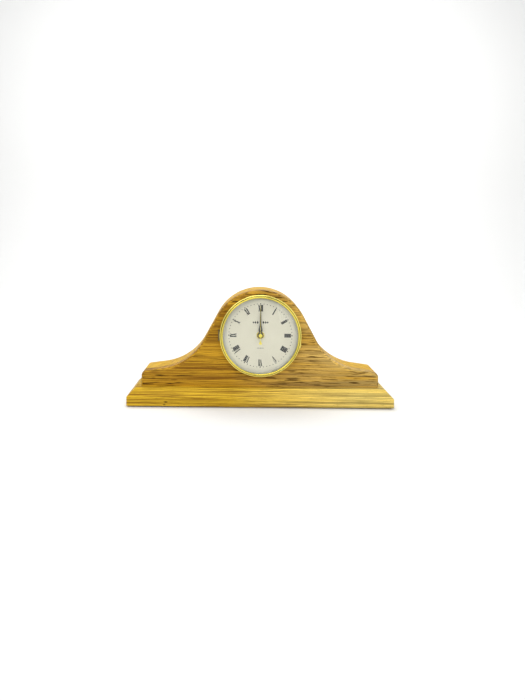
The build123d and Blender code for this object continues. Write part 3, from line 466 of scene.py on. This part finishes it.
coat_of = {
    "base_board": "oak_base",
    "felt_feet": "felt",
    "base_screws": "steel",
    "case_front_board": "oak_front",
    "case_middle_board": "oak_middle",
    "case_rear_board": "oak_rear",
    "dial_pan": "pan_plate",
    "dial_pan_screws": "brass_small",
    "dial_plate": "dial",
    "bezel_hinge_leaf": "dark_metal",
    "bezel_hinge_pin": "dark_metal",
    "bezel_hinge_knuckle": "dark_metal",
    "bezel_ring": "brass_spun",
    "crystal_glass": "glass",
    "glass_gasket": "rubber",
    "movement_case": "case_plastic",
    "movement_cover": "case_plastic",
    "threaded_bushing": "brass_small",
    "rubber_washer": "rubber",
    "brass_washer": "brass_spun",
    "hex_nut": "brass_small",
    "train_bridge": "bridge_grey",
    "circuit_board": "circuit",
    "quartz_crystal": "steel",
    "driver_chip": "chip",
    "stator": "iron",
    "coil_core": "iron",
    "coil_bobbin": "bridge_grey",
    "coil_winding": "wire",
    "battery_cell": "cell",
    "battery_positive_contact": "steel",
    "battery_negative_spring": "steel",
    "door_hinge_leaf_fixed": "brass_small",
    "door_hinge_leaf_moving": "brass_small",
    "door_hinge_pin": "steel",
    "door_hinge_screws_fixed": "brass_small",
    "door_hinge_screws_moving": "brass_small",
    "catch_magnet": "magnet",
    "catch_strike": "steel",
    "rear_door": "oak_door",
    "door_knob": "brass_small",
    "door_knob_screw": "steel",
    "hour_hand": "hand_black",
    "minute_hand": "hand_black",
    "second_hand": "gilt",
    "second_hand_cap": "gilt",
    "hour_wheel": "gear_white",
    "cannon_pinion": "gear_white",
    "motion_wheel": "gear_white",
    "set_shaft": "gear_white",
    "set_knob": "case_plastic",
    "second_wheel": "gear_amber",
    "third_wheel": "gear_white",
    "center_wheel": "gear_amber",
    "intermediate_wheel": "gear_white",
    "rotor_pinion": "gear_amber",
    "rotor_magnet": "magnet",
}
for name, piece in nodes.items():
    piece.data.materials.clear()
    piece.data.materials.append(finishes[coat_of[name]])


# ---- making pieces ------------------------------------------------------------------------
def turned(angle):
    """Cosine and sine of an angle in degrees."""
    return math.cos(math.radians(angle)), math.sin(math.radians(angle))


def from_axis(across, y, up):
    """A point in the frame, from millimetres off the dial's axis and its place along Y."""
    return DIAL_X + across * MM, y * MM, DIAL_Z + up * MM


def add_piece(name, mesh, finish):
    """A new object from a bmesh, with one of the finishes."""
    data = bpy.data.meshes.new(name)
    mesh.to_mesh(data)
    mesh.free()
    data.materials.append(finish)
    piece = bpy.data.objects.new(name, data)
    bpy.context.scene.collection.objects.link(piece)
    return piece


# ---- bezel ring, turned again with round beads, in millimetres -----------------------------
# places along Y are negative towards the front. SEAT and WEB are corners as (radius, y),
# BEADS_Y and BEAD_RISES give the outer bead first, and TAB_BOX is the tab's inner radius,
# outer radius and half width.
BEZEL_OPENING = 59.8
SKIRT = 0.7
SKIRT_BACK = -22.8
BEADS_Y = (-29.2, -30.7)
BEAD_RISES = (1.1, 1.4)
LIP_Y = (-30.19, -29.84)
SEAT = (61.7, -26.0)
WEB = (62.7, -28.6)
TAB_ANGLE = -14.0
TAB_BOX = (63.9, 66.3, 3.5)
TAB_Y = (-26.0, -24.6)
TAB_CORNER = 0.7
TAB_CORNER_MIDDLE = 0.2
ROUND_STEPS = 240
BEAD_STEPS = 14
SHARP_ANGLE = 35


def bead(outer, inner, y, rise):
    """Points of a bead's round front, from its outer to its inner edge."""
    middle, half = (outer + inner) / 2, (outer - inner) / 2
    angles = [math.pi * k / BEAD_STEPS for k in range(BEAD_STEPS + 1)]
    return [(middle + half * math.cos(a), y - rise * math.sin(a)) for a in angles]


def ring_profile():
    """The ring's section as (radius, y), from the skirt round the front to the web."""
    profile = [(BEZEL_RADIUS - SKIRT, SKIRT_BACK), (BEZEL_RADIUS, SKIRT_BACK)]
    profile += bead(BEZEL_RADIUS, GROOVE_RADIUS, BEADS_Y[0], BEAD_RISES[0])
    profile += bead(GROOVE_RADIUS, BEZEL_OPENING, BEADS_Y[1], BEAD_RISES[1])
    profile += [(BEZEL_OPENING, LIP_Y[0]), (SEAT[0], LIP_Y[1]), SEAT]
    return profile + [(WEB[0], SEAT[1]), WEB, (BEZEL_RADIUS - SKIRT, WEB[1])]


def turn_profile(mesh, profile):
    """Sweep a closed section about the dial's axis."""
    rows = []
    for step in range(ROUND_STEPS):
        c, s = turned(360 * step / ROUND_STEPS)
        rows.append([mesh.verts.new(from_axis(r * c, y, r * s)) for r, y in profile])
    for row, after in zip(rows, rows[1:] + rows[:1]):
        for k in range(len(profile)):
            n = (k + 1) % len(profile)
            mesh.faces.new((row[k], row[n], after[n], after[k]))


def lift_tab(mesh):
    """The tab's two faces, one behind the other, and the edge between them."""
    inner, outer, half = TAB_BOX
    corner, middle = TAB_CORNER, TAB_CORNER_MIDDLE
    outline = [(inner, -half), (outer - corner, -half), (outer - middle, middle - half),
               (outer, corner - half), (outer, half - corner), (outer - middle, half - middle),
               (outer - corner, half), (inner, half)]
    c, s = turned(TAB_ANGLE)
    front, back = [[mesh.verts.new(from_axis(r * c - w * s, y, r * s + w * c)) for r, w in outline]
                   for y in TAB_Y]
    for k in range(len(outline)):
        n = (k + 1) % len(outline)
        mesh.faces.new((front[k], front[n], back[n], back[k]))
    mesh.faces.new(front)
    mesh.faces.new(reversed(back))


def bezel_ring():
    """The ring turned about the dial's axis, and its lift tab."""
    mesh = bmesh.new()
    turn_profile(mesh, ring_profile())
    lift_tab(mesh)
    bmesh.ops.recalc_face_normals(mesh, faces=mesh.faces)
    for face in mesh.faces:
        face.smooth = True
    ring = add_piece("bezel_ring_turned", mesh, finishes["brass_spun"])
    ring.data.set_sharp_from_angle(angle=math.radians(SHARP_ANGLE))
    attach(ring, "bezel")
    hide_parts("bezel_ring")


bezel_ring()


# ---- printing on the dial -----------------------------------------------------------------
class Print:
    """Thin raised shapes on the dial's face, drawn in millimetres from its centre."""

    def __init__(self, name):
        self.name = name
        self.mesh = bmesh.new()

    def slab(self, outline, thickness=1.0, turn=0.0, shift=(0.0, 0.0)):
        """One flat shape. outline is (across, up) points; turn is clockwise, in degrees."""
        c, s = turned(turn)
        front, back = [], []
        for across, up in outline:
            across, up = across + shift[0], up + shift[1]
            x = DIAL_X + (across * c + up * s) * MM
            z = DIAL_Z + (up * c - across * s) * MM
            front.append(self.mesh.verts.new((x, DIAL_FRONT - PRINT_THICKNESS * thickness, z)))
            back.append(self.mesh.verts.new((x, DIAL_FRONT + PRINT_SUNK, z)))
        self.mesh.faces.new(front)
        self.mesh.faces.new(reversed(back))
        for i in range(len(front)):
            j = (i + 1) % len(front)
            self.mesh.faces.new((front[j], front[i], back[i], back[j]))

    def lozenge(self, half, rise, shift):
        self.slab([(0, -rise), (half, 0), (0, rise), (-half, 0)], shift=shift)

    def done(self, finish):
        bmesh.ops.recalc_face_normals(self.mesh, faces=self.mesh.faces)
        piece = add_piece(self.name, self.mesh, finishes[finish])
        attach(piece, "case")


# numerals: millimetres from the dial's centre. Strokes that cross differ in thickness, UNDER
# and BETWEEN, so that no two faces lie in one plane.
NUMERAL_LOW = 38.2
NUMERAL_TOP = NUMERAL_LOW + 10.5
STEM = 1.85
HAIR = 0.3
THICK_HALF = 0.85
SERIF = 0.24
SERIF_WIDTH = STEM + 0.7
UNDER = 0.8
BETWEEN = 0.9


def bar(width, low, high):
    return [(-width / 2, low), (width / 2, low), (width / 2, high), (-width / 2, high)]


def serif(page, turn, at, width, edge):
    """A thin bar across a stroke's end, just under the stroke's own thickness."""
    page.slab(bar(width, edge, edge + SERIF), UNDER, turn, (at, 0))


def letter_i(page, turn, at):
    page.slab(bar(STEM, NUMERAL_LOW, NUMERAL_TOP), turn=turn, shift=(at, 0))
    for edge in (NUMERAL_LOW, NUMERAL_TOP - SERIF):
        serif(page, turn, at, SERIF_WIDTH, edge)


def letter_v(page, turn, at):
    low, high = NUMERAL_LOW, NUMERAL_TOP
    side, thin_serif = 1.35, 1.4
    thick = [(-side - THICK_HALF, high), (-0.45, low), (0.4, low), (-side + THICK_HALF, high)]
    thin = [(side - HAIR, high), (-0.05, low), (0.35, low), (side + HAIR, high)]
    page.slab(thick, turn=turn, shift=(at, 0))
    page.slab(thin, BETWEEN, turn, (at, 0))
    serif(page, turn, at - side, SERIF_WIDTH, high - SERIF)
    serif(page, turn, at + side, thin_serif, high - SERIF)


def letter_x(page, turn, at):
    low, high = NUMERAL_LOW, NUMERAL_TOP
    side, thin_serif = 1.1, 1.2
    reach = side + 0.3
    thick = [(side - THICK_HALF, low), (side + THICK_HALF, low),
             (-side + THICK_HALF, high), (-side - THICK_HALF, high)]
    thin = [(-reach - HAIR, low), (-reach + HAIR, low), (reach + HAIR, high), (reach - HAIR, high)]
    page.slab(thick, turn=turn, shift=(at, 0))
    page.slab(thin, BETWEEN, turn, (at, 0))
    for edge, lean in ((low, 1), (high - SERIF, -1)):
        serif(page, turn, at + lean * side, SERIF_WIDTH, edge)
        serif(page, turn, at - lean * reach, thin_serif, edge)


# how each letter is drawn, and how wide it is with its gap
LETTERS = {"I": (letter_i, 2.0), "V": (letter_v, 3.6), "X": (letter_x, 3.7)}
HOURS = ("XII", "I", "II", "III", "IIII", "V", "VI", "VII", "VIII", "IX", "X", "XI")
DEGREES_PER_HOUR = 30
DEGREES_PER_MINUTE = 6

numerals = Print("dial_numerals")
for hour, letters in enumerate(HOURS):
    across = -sum(LETTERS[letter][1] for letter in letters) / 2
    for letter in letters:
        draw, advance = LETTERS[letter]
        draw(numerals, hour * DEGREES_PER_HOUR, across + advance / 2)
        across += advance
numerals.done("print")

TRACK_RADIUS = 50.3
MINUTE_DOT = 0.68
HOUR_DOT = 1.0
DOT_SIDES = 10
track = Print("dial_minute_track")
for minute in range(60):
    radius = MINUTE_DOT if minute % 5 else HOUR_DOT
    corners = [turned(360 * k / DOT_SIDES) for k in range(DOT_SIDES)]
    track.slab([(radius * c, TRACK_RADIUS + radius * s) for c, s in corners],
               turn=minute * DEGREES_PER_MINUTE)
track.done("print")

# a row of lozenges above the hands' centre: each is its place, half width and half height
ORNAMENT_HEIGHT = 20.7
LOZENGES = ((4.6, 1.75, 2.4), (8.2, 1.6, 2.2), (11.4, 1.4, 1.8))
ornament = Print("dial_ornament")
ornament.lozenge(1.6, 2.2, (0, ORNAMENT_HEIGHT))
for place, half, rise in LOZENGES:
    for side in (-1, 1):
        ornament.lozenge(half, rise, (side * place, ORNAMENT_HEIGHT))
ornament.done("print")

# a small mark below the centre: a lozenge between two tapering bars
LOWER_MARK = -20.2
BAR_START, BAR_END = 1.7, 5.5
START_RISE, END_RISE = 0.6, 0.3
mark = Print("dial_lower_mark")
mark.lozenge(1.2, 0.9, (0, LOWER_MARK))
for side in (-1, 1):
    start, end = side * BAR_START, side * BAR_END
    mark.slab([(start, -START_RISE), (end, -END_RISE), (end, END_RISE), (start, START_RISE)],
              shift=(0, LOWER_MARK))
mark.done("print_grey")


# ---- floor, light and camera ---------------------------------------------------------------
FLOOR_HALF = 3.0
CURVE_START = 0.9
CURVE_RADIUS = 0.6
CURVE_STEPS = 12
WALL_TOP = 3.0


def studio():
    """Pale floor curving up into a backdrop far behind."""
    profile = [(-FLOOR_HALF, 0.0), (CURVE_START, 0.0)]
    for k in range(1, CURVE_STEPS + 1):
        c, s = turned(90 * k / CURVE_STEPS)
        profile.append((CURVE_START + CURVE_RADIUS * s, CURVE_RADIUS * (1 - c)))
    profile.append((CURVE_START + CURVE_RADIUS, WALL_TOP))
    mesh = bmesh.new()
    rows = [[mesh.verts.new((x, y, z)) for x in (-FLOOR_HALF, FLOOR_HALF)] for y, z in profile]
    for lower, upper in zip(rows, rows[1:]):
        mesh.faces.new((lower[0], lower[1], upper[1], upper[0]))
    for face in mesh.faces:
        face.smooth = True
    t = Tree("studio_paper")
    grain = t.noise(t.scaled((300, 300, 300)), detail=3.0)
    t.set(Base_Color=t.blend(grain, (0.80, 0.80, 0.79), (0.76, 0.76, 0.75)), Roughness=0.9)
    floor = add_piece("studio_floor", mesh, t.material)


def lamp(name, place, aim, size, power, colour=(1, 1, 1)):
    """A rectangular lamp at one place, turned to another. Its power is in watts."""
    data = bpy.data.lights.new(name, "AREA")
    data.shape = "RECTANGLE"
    data.size, data.size_y = size
    data.energy = power
    data.color = colour
    light = bpy.data.objects.new(name, data)
    light.location = place
    light.rotation_mode = "QUATERNION"
    light.rotation_quaternion = (Vector(aim) - Vector(place)).to_track_quat("-Z", "Y")
    bpy.context.scene.collection.objects.link(light)


studio()
CLOCK_MIDDLE = (0, 0, 0.09)
BACKDROP_MIDDLE = (0, 1.5, 0.5)
lamp("key", (-0.80, -1.20, 0.90), CLOCK_MIDDLE, (1.1, 0.8), 6.6, (1.0, 0.985, 0.95))
lamp("fill", (1.2, -1.3, 0.7), CLOCK_MIDDLE, (2.2, 1.6), 11, (1.0, 0.99, 0.97))
lamp("top", (-0.1, 0.0, 1.2), CLOCK_MIDDLE, (1.4, 0.7), 8)
lamp("backdrop", (0, 0.5, 1.3), BACKDROP_MIDDLE, (2.4, 0.8), 16)

world = bpy.data.worlds.new("studio")
bpy.context.scene.world = world
world.use_nodes = True
sky = world.node_tree.nodes["Background"]
sky.inputs["Color"].default_value = (0.97, 0.98, 1.0, 1)
sky.inputs["Strength"].default_value = 0.64
bpy.context.scene.view_settings.view_transform = "Standard"

# the camera is level, a little left of the clock, and rolled as the photograph is
CAMERA_X = -0.0261
CAMERA_DISTANCE = 0.7040
CAMERA_HEIGHT = 0.2635
CAMERA_ROLL = -0.55
camera_data = bpy.data.cameras.new("camera")
camera_data.lens = 23.25
camera_data.sensor_width = 36
camera_data.shift_x = 0.025
camera_data.shift_y = -0.1602
camera = bpy.data.objects.new("camera", camera_data)
camera.location = (CAMERA_X, BASE_LOW.y - CAMERA_DISTANCE, BASE_LOW.z + CAMERA_HEIGHT)
camera.rotation_euler = (math.pi / 2, math.radians(CAMERA_ROLL), 0)
bpy.context.scene.collection.objects.link(camera)
bpy.context.scene.camera = camera
